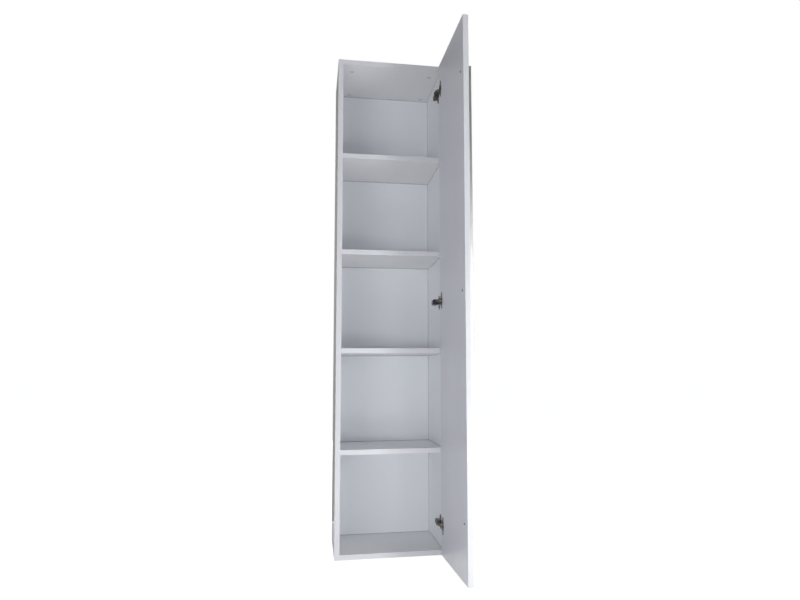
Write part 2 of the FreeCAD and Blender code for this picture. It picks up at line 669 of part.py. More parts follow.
def adjusting_screws(z):
    """Front set screw for the overlay, and the rear fixing screw in the arm's slot."""
    overlay = peg(OVERLAY_RADIUS, (-ARM_BACK - OVERLAY_TALL, OVERLAY_SCREW, 0),
                  (SCREW_FEET, OVERLAY_SCREW, 0))
    shank = peg(FIXING_RADIUS, (-ARM_BACK, FIXING_SCREW, 0), (SCREW_FEET, FIXING_SCREW, 0))
    head = peg(FIXING_HEAD, (-ARM_BACK - FIXING_HEAD_TALL, FIXING_SCREW, 0),
               (-ARM_BACK, FIXING_SCREW, 0), ROUND)
    return [at_hinge(screw, z) for screw in (overlay, fuse([shank, head]))]


def arm_catch(z):
    """Dark plastic catch in the rear end of the arm's channel."""
    inside = ARM_HALF - ARM_SHEET - 0.1
    body_top = ARM_SHEET - ARM_BACK + 0.2
    body = box(body_top, -ARM_FOOT - 1, ARM_END - CATCH_IN, ARM_END + CATCH_OUT, -inside, inside)
    lever = box(0.1 - ARM_BACK, body_top, ARM_END + 0.1, ARM_END + CATCH_LEVER,
                -CATCH_HALF, CATCH_HALF)
    rear_corners = [e for e in lever.Edges
                    if e.BoundBox.YMin > ARM_END + CATCH_LEVER - 0.1 and e.BoundBox.XLength > 1]
    return at_hinge(fuse([body, lever.makeChamfer(CATCH_CORNER, rear_corners)]), z)


def export_carcass():
    save("side_left", side_board(-1))
    save("side_right", side_board(1))
    save("bottom_panel", cross_board(0.0))
    save("top_panel", cross_board(HEIGHT - BOARD))
    save("back_panel", back_board())
    for number, bottom in enumerate(SHELF_BOTTOMS, 1):
        save(f"shelf_{number}", shelf_board(bottom))
    save("carcass_edge_bands", *carcass_bands())
    save("shelf_edge_bands", *shelf_bands())
    save("shelf_dowels", *dowels(-1, True), *dowels(1, True))
    save("panel_dowels", *dowels(-1, False), *dowels(1, False))
    save("cam_bolts", *[cam_bolt(side, y, z + BOARD / 2) for side in (-1, 1)
                        for z in cross_board_bottoms() for y in fitting_lines()])
    save("panel_cams", *[cam(*seat) for seat in cam_seats()])
    save("cam_covers", *[cam_cover(*seat) for seat in cam_seats() if seat[2] > 0])


def export_door():
    save("door_panel", door_board())
    save("door_edge_bands", *door_bands())
    save("door_bumpers", *[bumper(x, z) for x, z in bumper_places()])
    save("grip_profile", grip_profile())
    save("grip_end_caps", *grip_end_caps())
    save("grip_screws", *[grip_screw(z) for z in GRIP_SCREW_HEIGHTS])


def export_hinges():
    for name, z in HINGE_HEIGHTS.items():
        save(f"hinge_cup_{name}", hinge_cup(z))
        save(f"outer_link_{name}", outer_link(z))
        save(f"inner_link_{name}", inner_link(z))
        save(f"hinge_arm_{name}", arm(z))
        save(f"mounting_plate_{name}", mounting_plate(z))
    heights = list(HINGE_HEIGHTS.values())
    save("cup_pins", *[pin for z in heights for pin in cup_pins(z)])
    save("inner_link_pins", *[inner_link_pin(z) for z in heights])
    save("arm_pins", *[pin for z in heights for pin in arm_pins(z)])
    save("cup_screws", *[cup_screw(x, zs) for z in heights for x, zs in cup_screw_places(z)])
    save("plate_screws", *[plate_screw(z) for z in plate_screw_heights()])
    save("adjusting_screws", *[screw for z in heights for screw in adjusting_screws(z)])
    save("arm_catches", *[arm_catch(z) for z in heights])
    save("arm_cover_middle", arm_cover(HINGE_HEIGHTS["middle"]))


os.makedirs("parts", exist_ok=True)
export_carcass()
export_door()
export_hinges()
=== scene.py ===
import json
import math

import bmesh
import bpy
from mathutils import Matrix, Vector


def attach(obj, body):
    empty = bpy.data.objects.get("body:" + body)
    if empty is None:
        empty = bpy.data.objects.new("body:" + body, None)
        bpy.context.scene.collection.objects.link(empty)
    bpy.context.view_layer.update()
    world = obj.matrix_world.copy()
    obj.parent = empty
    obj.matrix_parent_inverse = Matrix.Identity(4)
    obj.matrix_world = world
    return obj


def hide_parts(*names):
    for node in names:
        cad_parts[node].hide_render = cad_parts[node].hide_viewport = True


# Broom cupboard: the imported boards, hinges and grip with their materials, and the small
# fasteners built in detail. Metres, +Z up, the front faces -Y.

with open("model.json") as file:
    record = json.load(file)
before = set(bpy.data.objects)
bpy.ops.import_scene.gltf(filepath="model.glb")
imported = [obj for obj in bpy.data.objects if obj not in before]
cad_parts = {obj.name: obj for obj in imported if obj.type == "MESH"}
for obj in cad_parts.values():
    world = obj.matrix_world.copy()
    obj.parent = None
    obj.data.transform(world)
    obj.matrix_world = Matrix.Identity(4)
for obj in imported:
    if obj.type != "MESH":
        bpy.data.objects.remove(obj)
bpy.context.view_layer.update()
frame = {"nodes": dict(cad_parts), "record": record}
NODES = frame["nodes"]

# ---- camera, fitted to the edges of the boards ----
IMAGE_WIDTH, IMAGE_HEIGHT = 800, 600
CAMERA_PLACE = Vector((-0.2800, -2.6806, 0.6337))
CAMERA_YAW = 0.1888           # radians, as the two below
CAMERA_PITCH = 0.1037
CAMERA_ROLL = -0.0068
FOCAL_PIXELS = 701.62
CENTRE_X, CENTRE_Y = 446.98, 301.96
SENSOR = 36.0                 # its width in mm
CAMERA_REACH = 200.0


# ---- node helpers ----
class Maker:
    """Adds nodes to one material and links them."""

    def __init__(self, name):
        self.material = bpy.data.materials.new(name)
        self.material.use_nodes = True
        self.tree = self.material.node_tree
        self.tree.nodes.clear()
        self.output = self.tree.nodes.new("ShaderNodeOutputMaterial")

    def add(self, kind, props=None, **inputs):
        """A node with its properties and inputs. Here an input's name has _ for each space."""
        made = self.tree.nodes.new("ShaderNode" + kind)
        for key, value in (props or {}).items():
            setattr(made, key, value)
        for key, value in inputs.items():
            self.feed(made.inputs[key.replace("_", " ")], value)
        return made

    def feed(self, socket, value):
        if isinstance(value, bpy.types.NodeSocket):
            self.tree.links.new(value, socket)
        else:
            socket.default_value = value

    def place(self, scale=(1, 1, 1)):
        """Object coordinates, stretched."""
        coords = self.add("TexCoord").outputs["Object"]
        return self.add("Mapping", Vector=coords, Scale=scale).outputs["Vector"]

    def noise(self, scale, detail, stretch=(1, 1, 1), rough=0.5):
        """A value about 0.5 that wanders over the surface, with spots of about 1 / scale."""
        made = self.add("TexNoise", Vector=self.place(stretch), Scale=scale, Detail=detail,
                        Roughness=rough)
        return made.outputs["Fac"]

    def spread(self, value, low, high):
        """A noise's value brought between two others."""
        return self.add("MapRange", Value=value, From_Min=0.25, From_Max=0.75,
                        To_Min=low, To_Max=high).outputs["Result"]

    def blend(self, amount, first, second):
        made = self.add("Mix", {"data_type": "RGBA"})
        self.feed(made.inputs[0], amount)
        self.feed(made.inputs[6], first)
        self.feed(made.inputs[7], second)
        return made.outputs[2]

    def math(self, operation, first, second=0.0, clamp=False):
        made = self.add("Math", {"operation": operation, "use_clamp": clamp})
        self.feed(made.inputs[0], first)
        self.feed(made.inputs[1], second)
        return made.outputs[0]

    def bump(self, height, distance, strength, under=None):
        made = self.add("Bump", Height=height, Distance=distance, Strength=strength)
        if under is not None:
            self.feed(made.inputs["Normal"], under)
        return made.outputs["Normal"]

    def part(self, kind, axis):
        """One part of the object's coordinates or of the surface's own normal."""
        whole = self.add("TexCoord").outputs[kind]
        return self.add("SeparateXYZ", Vector=whole).outputs[axis]

    def finish(self, colour, roughness, normal=None, **sockets):
        """The material, with its shader made."""
        shader = self.add("BsdfPrincipled", Base_Color=colour, Roughness=roughness, **sockets)
        if normal is not None:
            self.feed(shader.inputs["Normal"], normal)
        self.feed(self.output.inputs["Surface"], shader.outputs[0])
        return self.material


def rgba(red, green, blue):
    return (red, green, blue, 1.0)


def shade(colour, factor):
    return rgba(*(min(1.0, part * factor) for part in colour[:3]))


# ---- materials ----
# the whites of the boards and the edging differ a little, matched face by face: lighter and
# darker copies of one white, painted light and shade for how brightly each is lit
LEFT_WHITE = rgba(0.855, 0.875, 0.913)
RIGHT_WHITE = rgba(0.90, 0.916, 0.952)
LEVEL_WHITE = rgba(0.915, 0.915, 0.925)
BACK_WHITE = rgba(0.818, 0.842, 0.885)
DOOR_WHITE = rgba(0.797, 0.795, 0.855)
BAND_WHITE = rgba(0.755, 0.765, 0.80)
CHIP_LIGHT = rgba(0.62, 0.47, 0.31)
CHIP_DARK = rgba(0.36, 0.25, 0.15)
FIBRE_LIGHT = rgba(0.40, 0.27, 0.16)
FIBRE_DARK = rgba(0.20, 0.125, 0.07)
FIBRE_STAIN = rgba(0.24, 0.155, 0.09)
BEECH_LIGHT = rgba(0.66, 0.47, 0.29)
BEECH_DARK = rgba(0.50, 0.33, 0.18)
BEECH_FLECK = rgba(0.36, 0.22, 0.12)
# painted shadow: the colour of the shadow lines where boards meet
SEAM_SHADOW = rgba(0.11, 0.10, 0.095)
SIDE_SEAM, LEVEL_SEAM, UPRIGHT_SEAM = 0.8, 0.7, 0.5     # how much the shadow lines cover
OUTER_GLOSS = 0.65            # how much smoother the outer faces are
RAW_ROUGH = 0.9
BOARD_THICK = 0.018
SHELF_PITCH = 0.3564          # from one shelf to the next
INNER_HALF = 0.182            # from the middle to a side's inner face
SEAM = 0.0016                 # width of the shadow line where two boards meet


def chipboard(maker):
    """Colour and relief of a raw chipboard edge: pale chips with darker glue between."""
    chips = maker.add("TexVoronoi", {"feature": "F1"}, Vector=maker.place(), Scale=420.0)
    grain = maker.noise(160.0, 4.0, rough=0.7)
    tone = maker.math("MULTIPLY", chips.outputs["Distance"], 1.3)
    tone = maker.math("ADD", tone, maker.math("MULTIPLY", grain, 0.5), True)
    return maker.blend(tone, CHIP_LIGHT, CHIP_DARK), tone


def level_seams(maker):
    """1 along the shadow lines where an upright face meets the shelves, top and bottom."""
    height = maker.part("Object", "Z")
    phase = maker.math("MODULO", maker.math("ADD", height, SEAM), SHELF_PITCH)
    away = maker.math("ABSOLUTE", maker.math("SUBTRACT", phase, SEAM + BOARD_THICK / 2))
    beyond = maker.math("GREATER_THAN", away, BOARD_THICK / 2)
    return maker.math("MULTIPLY", beyond, maker.math("LESS_THAN", away, BOARD_THICK / 2 + SEAM))


def board_material(name, colour, thin_axis, outer=0, seamed=False):
    """Melamine-faced chipboard: satin faces with a fine peel, raw chips where it was sawn. The
    face that looks outer, -1 or 1 along X, is glossier. On a seamed board the other face has
    the shadow lines of the shelves."""
    maker = Maker(name)
    cloud = maker.noise(3.5, 3.0)
    fleck = maker.noise(55.0, 3.0)
    peel = maker.noise(1500.0, 1.5)
    face = maker.blend(maker.spread(cloud, 0.0, 1.0), colour, shade(colour, 0.975))
    face = maker.blend(maker.spread(fleck, 0.0, 0.35), face, shade(colour, 0.985))
    smear = maker.noise(9.0, 5.0, (1, 1, 0.35), 0.6)
    rough = maker.spread(smear, 0.30, 0.44)
    if outer:
        facing = maker.math("MULTIPLY", maker.part("Normal", "X"), outer)
        gloss = maker.math("MULTIPLY", maker.math("GREATER_THAN", facing, 0.5), OUTER_GLOSS)
        rough = maker.math("MULTIPLY", rough, maker.math("SUBTRACT", 1.0, gloss))
        if seamed:
            inside = maker.math("LESS_THAN", facing, -0.5)
            seam = maker.math("MULTIPLY", level_seams(maker), inside)
            # painted shadow lines of the shelves on the side's inner face
            face = maker.blend(maker.math("MULTIPLY", seam, SIDE_SEAM), face, SEAM_SHADOW)
    chips, relief = chipboard(maker)
    thin = maker.math("ABSOLUTE", maker.part("Normal", thin_axis))
    sawn = maker.math("LESS_THAN", thin, 0.5)
    rough = maker.math("MAXIMUM", rough, maker.math("MULTIPLY", sawn, RAW_ROUGH))
    fine = maker.bump(peel, 0.00002, 0.5)
    coarse = maker.bump(maker.math("MULTIPLY", relief, sawn), 0.0003, 0.8, fine)
    return maker.finish(maker.blend(sawn, face, chips), rough, coarse)


def band_material():
    """White edging: a faint lengthwise drag left by the trimming tool."""
    maker = Maker("edge_banding")
    drag = maker.noise(30.0, 3.0, (40, 40, 1))
    cloud = maker.noise(4.0, 2.0)
    colour = maker.blend(maker.spread(cloud, 0.0, 1.0), BAND_WHITE, shade(BAND_WHITE, 0.97))
    return maker.finish(colour, maker.spread(drag, 0.24, 0.36), maker.bump(drag, 0.00003, 0.4))


def back_material():
    """Thin hardboard: white lacquer inside, bare brown fibre behind."""
    maker = Maker("back_board")
    rear = maker.math("GREATER_THAN", maker.part("Normal", "Y"), -0.5)
    cloud = maker.noise(3.0, 3.0)
    white = maker.blend(maker.spread(cloud, 0.0, 1.0), BACK_WHITE, shade(BACK_WHITE, 0.97))
    across = maker.math("ABSOLUTE", maker.part("Object", "X"))
    upright = maker.math("GREATER_THAN", across, INNER_HALF - SEAM)
    seam = maker.math("MAXIMUM", maker.math("MULTIPLY", level_seams(maker), LEVEL_SEAM),
                      maker.math("MULTIPLY", upright, UPRIGHT_SEAM))
    # painted shadow lines where the shelves and sides meet the back
    white = maker.blend(seam, white, SEAM_SHADOW)
    fibre = maker.noise(320.0, 6.0, (1, 1, 0.5), 0.75)
    brown = maker.blend(maker.spread(fibre, 0.0, 1.0), FIBRE_LIGHT, FIBRE_DARK)
    stain = maker.noise(7.0, 4.0, (1, 1, 0.6), 0.6)
    brown = maker.blend(maker.spread(stain, 0.0, 0.45), brown, FIBRE_STAIN)
    lacquer = maker.spread(maker.noise(8.0, 4.0), 0.34, 0.46)
    rough = maker.math("MAXIMUM", lacquer, maker.math("MULTIPLY", rear, 0.8))
    return maker.finish(maker.blend(rear, white, brown), rough, maker.bump(fibre, 0.00006, 0.35))


def metal_material(name, colour, low, high, scale=60.0, stretch=(1, 1, 1)):
    """Bare or plated metal: drawn or tumbled streaks in the gloss, with a little staining."""
    maker = Maker(name)
    streak = maker.noise(scale, 4.0, stretch, 0.6)
    stain = maker.noise(35.0, 3.0)
    tone = maker.blend(maker.spread(stain, 0.0, 1.0), colour, shade(colour, 0.86))
    tone = maker.blend(maker.spread(streak, 0.0, 0.4), tone, shade(colour, 1.12))
    return maker.finish(tone, maker.spread(streak, low, high), maker.bump(streak, 0.00002, 0.5),
                        Metallic=1.0)


def plastic_material(name, colour, low, high, **sockets):
    """Moulded plastic with a fine spark-eroded grain."""
    maker = Maker(name)
    grain = maker.noise(2500.0, 2.0)
    cloud = maker.noise(90.0, 2.0)
    tone = maker.blend(maker.spread(cloud, 0.0, 1.0), colour, shade(colour, 0.93))
    return maker.finish(tone, maker.spread(cloud, low, high), maker.bump(grain, 0.00002, 0.6),
                        **sockets)


def beech_material():
    """Plain beech: long grain with short dark flecks."""
    maker = Maker("dowel_wood")
    grain = maker.noise(120.0, 4.0, (0.15, 1, 1), 0.6)
    fleck = maker.noise(900.0, 1.0, (0.1, 1, 1))
    tone = maker.blend(maker.spread(grain, 0.0, 1.0), BEECH_LIGHT, BEECH_DARK)
    tone = maker.blend(maker.spread(fleck, 0.0, 0.5), tone, BEECH_FLECK)
    return maker.finish(tone, maker.spread(grain, 0.55, 0.7), maker.bump(fleck, 0.00005, 0.5))


BOARDS = {
    "side_left": board_material("carcass_board_left", LEFT_WHITE, "X", -1, True),
    "side_right": board_material("carcass_board_right", RIGHT_WHITE, "X", 1, True),
    "door_panel": board_material("door_board", DOOR_WHITE, "X", 1),
}
LEVEL_BOARD = board_material("carcass_board_level", LEVEL_WHITE, "Z")
SLOTS = {
    "edge_banding": band_material(),
    "back_board": back_material(),
    "grip_aluminium": metal_material("grip_aluminium", rgba(0.69, 0.70, 0.69), 0.32, 0.44,
                                     1.0, (900, 900, 6)),
    # the hinges' nickel is darkened well below its own grey: painted shade for the shade they
    # sit in
    "hinge_nickel": metal_material("hinge_nickel", rgba(0.135, 0.12, 0.105), 0.24, 0.42),
    # the screws' steel is darkened the same way: painted shade
    "screw_steel": metal_material("screw_steel", rgba(0.15, 0.145, 0.14), 0.25, 0.45, 300.0),
    "cam_zinc": metal_material("cam_zinc", rgba(0.60, 0.60, 0.60), 0.40, 0.60, 500.0),
    "dowel_wood": beech_material(),
    "cover_plastic": plastic_material("cover_plastic", rgba(0.74, 0.75, 0.76), 0.35, 0.45),
    "bumper_rubber": plastic_material("bumper_rubber", rgba(0.72, 0.72, 0.70), 0.40, 0.55),
    "dark_plastic": plastic_material("dark_plastic", rgba(0.018, 0.022, 0.038), 0.24, 0.36,
                                     Specular_IOR_Level=0.3),
}

# the middle hinge's arm and outer link, bare nickel on the other hinges, are given the
# near-black of the cover clipped over them: partly the cover's own plastic, partly painted shade
# for the deep shade in the middle hinge
SHADE_DARKENED_NODES = ("hinge_arm_middle", "outer_link_middle")
SHADE_DARKENED_LOOK = plastic_material("shade_darkened_arm", rgba(0.016, 0.020, 0.034), 0.24, 0.36,
                                Specular_IOR_Level=0.3)


def look_of(node, slot):
    """The material of a CAD node. A board's goes by its name, because it depends on which way
    the board lies and which of its faces is outside."""
    # painted shade: the middle hinge's darkened arm and outer link
    if node in SHADE_DARKENED_NODES:
        return SHADE_DARKENED_LOOK
    return SLOTS[slot] if slot in SLOTS else BOARDS.get(node, LEVEL_BOARD)


def dress_cad_nodes():
    for part in frame["record"]["subparts"]:
        mesh = NODES[part["node"]].data
        mesh.materials.clear()
        mesh.materials.append(look_of(part["node"], part["material_slot"]))


# ---- small roundings of the CAD nodes that stay ----
# the width in metres by the start of a node's name
ROUNDING = {
    "hinge_cup": 0.00022, "hinge_arm": 0.00035, "mounting_plate": 0.0003,
    "arm_cover": 0.0004, "arm_catches": 0.0004, "outer_link": 0.00015, "inner_link": 0.0003,
    "grip_": 0.00025, "carcass_edge": 0.00035, "shelf_edge": 0.00035, "door_edge": 0.00035,
}
SAME_POINT = 1e-6             # corners nearer than this are one
FLAT_ANGLE = math.radians(1.0)
SHARP_ANGLE = math.radians(50.0)


def round_edges(node, width):
    """Rounds a node's sharp edges, once its split corners and its flat faces are joined."""
    weld = NODES[node].modifiers.new("weld", "WELD")
    weld.merge_threshold = SAME_POINT
    flat = NODES[node].modifiers.new("flat", "DECIMATE")
    flat.decimate_type = "DISSOLVE"
    flat.angle_limit = FLAT_ANGLE
    made = NODES[node].modifiers.new("rounding", "BEVEL")
    made.width = width
    made.segments = 2
    made.limit_method = "ANGLE"
    made.angle_limit = SHARP_ANGLE
    made.harden_normals = True


def soften_cad_nodes():
    for node in NODES:
        for start, width in ROUNDING.items():
            if node.startswith(start):
                round_edges(node, width)


# ---- mesh code: small pieces are made in mm about their own Z, then stood in place ----
MM = 0.001
FLUTES = 12
THREAD_SIDES = 12
THREAD_SHARP = 3.0            # how steep a thread's ridge is
CUT_CLEAR = 0.4               # how far a cutter stands out of the face that it cuts
TIP_LEFT = 0.08               # how much of its width a pointed tip keeps
SMOOTH_ANGLE = math.radians(35.0)
DOOR_OUT = Vector((-0.999781, -0.020942, 0.0))      # square to the open door's inner face
LEFT, DOWN, UP = Vector((-1, 0, 0)), Vector((0, 0, -1)), Vector((0, 0, 1))


def turned(profile, sides=36, flute=0.0):
    """Round sections from (radius, height) pairs. A radius of 0 is a single point, and flute
    is the depth of the grooves along the surface."""
    rings = []
    for radius, height in profile:
        ring = []
        for i in range(sides if radius > 0 else 1):
            turn = 2 * math.pi * i / sides
            out = radius - flute * (0.5 - 0.5 * math.cos(turn * FLUTES))
            ring.append((out * math.cos(turn), out * math.sin(turn), height))
        rings.append(ring)
    return rings


def threaded(core, crest, pitch, start, end, tip=0.0):
    """Sections of a threaded shank, with as many to a turn as it has sides, so that the crest
    runs from corner to corner. A tip is the length over which it narrows to a point."""
    rings = []
    for k in range(int((start - end) / pitch * THREAD_SIDES) + 1):
        height = start - pitch * k / THREAD_SIDES
        taper = min(1.0, (height - end) / tip + TIP_LEFT) if tip else 1.0
        runout = min(1.0, k / THREAD_SIDES, (height - end) / pitch)
        ring = []
        for i in range(THREAD_SIDES):
            phase = ((i + k) % THREAD_SIDES) / THREAD_SIDES
            ridge = max(0.0, 1.0 - abs(phase - 0.5) * THREAD_SHARP) * runout
            radius = (core + (crest - core) * ridge) * taper
            turn = 2 * math.pi * i / THREAD_SIDES
            ring.append((radius * math.cos(turn), radius * math.sin(turn), height))
        rings.append(ring)
    return rings + [[(0.0, 0.0, end)]]


def solid(rings):
    """Closed form through round sections, from one end to the other."""
    shape = bmesh.new()
    made = [[shape.verts.new(point) for point in ring] for ring in rings]
    for upper, lower in zip(made, made[1:]):
        sides = max(len(upper), len(lower))
        for i in range(sides):
            u, v = (upper[k * len(upper) // sides % len(upper)] for k in (i, i + 1))
            w, x = (lower[k * len(lower) // sides % len(lower)] for k in (i + 1, i))
            for corners in ((u, v, x), (v, w, x)):
                if len(set(corners)) == 3:
                    shape.faces.new(corners)
    bmesh.ops.recalc_face_normals(shape, faces=shape.faces)
    return shape


def cross_plug(reach, half, top, depth):
    """Negative of a driver's cross recess in a face at a height. Its arms narrow downward."""
    outline = [(reach, half), (half, half), (half, reach), (-half, reach), (-half, half),
               (-reach, half), (-reach, -half), (-half, -half), (-half, -reach), (half, -reach),
               (half, -half), (reach, -half)]
    above, floor = top + CUT_CLEAR, top - depth
    mouth, base = ([(x * size, y * size, height) for x, y in outline]
                   for size, height in ((1.12, above), (0.55, floor)))
    return solid([[(0, 0, above)], mouth, base, [(0, 0, floor)]])


def as_mesh(shape, name="scratch"):
    mesh = bpy.data.meshes.new(name)
    shape.to_mesh(mesh)
    shape.free()
    return mesh


def carve(shape, *cutters):
    """A form less its cutters, as a mesh."""
    holders = []
    for mesh in [as_mesh(part) for part in (shape, *cutters)]:
        holder = bpy.data.objects.new("scratch", mesh)
        bpy.context.scene.collection.objects.link(holder)
        holders.append(holder)
    for tool in holders[1:]:
        cut = holders[0].modifiers.new("cut", "BOOLEAN")
        cut.operation = "DIFFERENCE"
        cut.solver = "EXACT"
        cut.object = tool
    graph = bpy.context.evaluated_depsgraph_get()
    result = bpy.data.meshes.new_from_object(holders[0].evaluated_get(graph))
    for holder in holders:
        bpy.data.objects.remove(holder)
    return result


def solids_in(node, axis):
    """Ends, low and high along an axis, of the centre line of each solid in a CAD node."""
    side = axis.orthogonal().normalized()
    directions = (axis, side, axis.cross(side))
    shape = bmesh.new()
    shape.from_mesh(NODES[node].data)
    shape.transform(NODES[node].matrix_world)
    bmesh.ops.remove_doubles(shape, verts=shape.verts, dist=SAME_POINT)
    seen, ends = set(), []
    for first in shape.verts:
        if first in seen:
            continue
        seen.add(first)
        pile, places = [first], []
        while pile:
            vert = pile.pop()
            places.append(vert.co.copy())
            near = [edge.other_vert(vert) for edge in vert.link_edges]
            pile += [other for other in near if other not in seen]
            seen.update(near)
        low, high = (Vector([pick(place.dot(line) for place in places) for line in directions])
                     for pick in (min, max))
        middle = side * (low.y + high.y) / 2 + directions[2] * (low.z + high.z) / 2
        ends.append((middle + axis * low.x, middle + axis * high.x))
    shape.free()
    return sorted(ends, key=lambda pair: [round(part, 5) for part in pair[0]])


def stand(place, out, turn=0.0):
    """Puts a piece made in mm at a place, with its own Z along a direction."""
    return (Matrix.Translation(place) @ out.to_track_quat("Z", "Y").to_matrix().to_4x4()
            @ Matrix.Rotation(turn, 4, "Z") @ Matrix.Scale(MM, 4))


def at_tops(mesh, node, axis, tall, first=0.0, step=0.0):
    """A mesh for each solid in a node, with its crown, so tall, at the solid's high end. Each
    is turned by a step more than the one before it."""
    return [(mesh, stand(high - axis * tall * MM, axis, step * k + first))
            for k, (_, high) in enumerate(solids_in(node, axis))]


def add_piece(name, copies, body, slot, *nodes):
    """One object made of meshes at their places. It stands for CAD nodes."""
    shape = bmesh.new()
    for mesh, place in copies:
        copy = mesh.copy()
        copy.transform(place)
        shape.from_mesh(copy)
        bpy.data.meshes.remove(copy)
    made = bpy.data.objects.new(name, as_mesh(shape, name))
    bpy.context.scene.collection.objects.link(made)
    made.data.shade_smooth()
    made.data.set_sharp_from_angle(angle=SMOOTH_ANGLE)
    made.data.materials.clear()
    made.data.materials.append(SLOTS[slot])
    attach(made, body)
    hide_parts(*nodes)


# ---- the small pieces: profiles are (radius, height) pairs in mm ----
PAN_CROWN, FLAT_CROWN, SET_CROWN, FIX_CROWN = 2.2, 1.8, 0.5, 2.4     # heights of the heads
FIXER_LENGTH = 8.5            # a solid longer than this is a fixing screw
FLAT_HEAD = [(0, FLAT_CROWN), (1.6, 1.77), (2.7, 1.62), (3.2, 1.42), (3.2, 1.36),
             (2.95, 1.16), (1.72, 0.0)]
SET_HEAD = [(0, SET_CROWN), (1.9, SET_CROWN), (2.3, 0.3), (2.3, 0.0), (2.05, -0.2)]
PIN_END = ((0, 0), (0.7, 0.02), (1.0, 0.13), (1.16, 0.34), (1.2, 0.6))     # radius, depth
DOWEL_HALF = 15.0
BOLT_REACH, BOLT_THREAD = 35.5, 11.0
BOLT = [(0, BOLT_REACH), (2.4, BOLT_REACH - 0.15), (3.4, BOLT_REACH - 0.9),
        (3.78, BOLT_REACH - 2.0), (3.4, BOLT_REACH - 3.2), (2.3, BOLT_REACH - 4.2),
        (1.9, BOLT_REACH - 5.0), (1.9, BOLT_REACH - 8.0), (2.6, BOLT_REACH - 9.0),
        (2.6, 1.6), (2.95, 1.2), (2.95, 0.2), (2.4, 0.0)]
CAM_DRUM = [(0, 11.5), (6.9, 11.5), (7.4, 11.0), (7.4, 4.7), (7.0, 4.4), (7.0, 3.5),
            (7.4, 3.2), (7.4, 0.9), (7.2, 0.35), (6.6, 0), (0, 0)]
CAM_MOUTH = [(0, 12.0), (4.2, 12.0), (4.2, -4.9), (0, -4.9)]
MOUTH_HEIGHT = 8.0            # of the mouth's middle in the drum
COVER_CROWN, DOME_CROWN = 0.6, 1.4
COVER = [(0, 0.42), (3.5, 0.44), (6.4, 0.58), (7.4, 0.60), (8.1, 0.50), (8.55, 0.28),
         (8.7, 0.0), (7.44, 0.0), (7.44, -0.7), (7.0, -1.0), (0, -1.0)]
BUFFER = [(0, DOME_CROWN), (1.8, 1.33), (3.1, 1.05), (3.8, 0.55), (4.0, 0.12), (3.9, 0.0),
          (2.1, 0.0), (1.85, -0.9), (2.12, -1.5), (1.85, -2.3), (2.12, -2.9), (1.6, -4.4),
          (1.1, -4.8), (0, -4.8)]


def pan_head(radius, tall):
    """Outline of a low domed head, from its crown down to its seat."""
    return [(0, tall), (radius * 0.45, tall * 0.98), (radius * 0.74, tall * 0.86),
            (radius * 0.92, tall * 0.62), (radius, tall * 0.30), (radius * 0.98, 0.0)]


def headed(head, shank, reach, half, depth):
    """Screw with a cross recess in its head."""
    return carve(solid(turned(head) + shank), cross_plug(reach, half, head[0][1], depth))


def make_screws():
    """Screws whose crosses stand at different angles, as when they were driven."""
    # pan-headed machine screws from the door's face into the grip
    screw = headed(pan_head(4.0, PAN_CROWN),
                   threaded(core=1.62, crest=1.98, pitch=0.7, start=0.0, end=-21.5),
                   reach=2.1, half=0.42, depth=1.5)
    places = at_tops(screw, "grip_screws", DOOR_OUT, PAN_CROWN, first=0.2, step=0.35)
    add_piece("grip_machine_screws", places, "door", "screw_steel", "grip_screws")

    # countersunk chipboard screws through the wings of the cups
    screw = headed(FLAT_HEAD,
                   threaded(core=1.15, crest=1.68, pitch=1.6, start=-0.1, end=-12.5, tip=3.0),
                   reach=1.9, half=0.38, depth=1.3)
    places = at_tops(screw, "cup_screws", DOOR_OUT, FLAT_CROWN, first=0.1, step=0.5)
    add_piece("chipboard_screws", places, "door", "screw_steel", "cup_screws")

    # blunt system screws in the rows of holes of the side
    screw = headed(pan_head(3.7, PAN_CROWN),
                   threaded(core=1.9, crest=2.48, pitch=1.9, start=0.0, end=-13.4),
                   reach=2.0, half=0.42, depth=1.5)
    places = at_tops(screw, "plate_screws", LEFT, PAN_CROWN, step=0.6)
    add_piece("system_screws", places, "carcass", "screw_steel", "plate_screws")

    # overlay set screws, and the large-headed fixing screws in the slots of the arms
    setter = headed(SET_HEAD,
                    threaded(core=2.05, crest=2.46, pitch=0.8, start=-0.2, end=-7.0),
                    reach=1.4, half=0.34, depth=1.2)
    fixer = headed(pan_head(4.35, FIX_CROWN),
                   threaded(core=1.65, crest=1.98, pitch=0.7, start=0.0, end=-7.0),
                   reach=2.3, half=0.45, depth=1.6)
    places = []
    for k, (low, high) in enumerate(solids_in("adjusting_screws", LEFT)):
        is_fixer = (high - low).length > FIXER_LENGTH * MM
        seat = high - LEFT * (FIX_CROWN if is_fixer else SET_CROWN) * MM
        places.append((fixer if is_fixer else setter, stand(seat, LEFT, 0.45 * k)))
    add_piece("arm_screws", places, "carcass", "screw_steel", "adjusting_screws")


def make_pins():
    """Hinge pins with domed ends, each as long as its CAD solid."""
    for node, name, body in (("cup_pins", "cup_stub_pins", "door"),
                             ("arm_pins", "arm_rivets", "carcass"),
                             ("inner_link_pins", "link_rivets", "inner_links")):
        places = []
        for low, high in solids_in(node, UP):
            half = (high - low).length / 2 / MM
            end = [(radius, half - depth) for radius, depth in PIN_END]
            other = [(radius, -height) for radius, height in reversed(end)]
            pin = as_mesh(solid(turned(end + other, 24)))
            places.append((pin, stand((low + high) / 2, UP)))
        add_piece(name, places, body, "hinge_nickel", node)


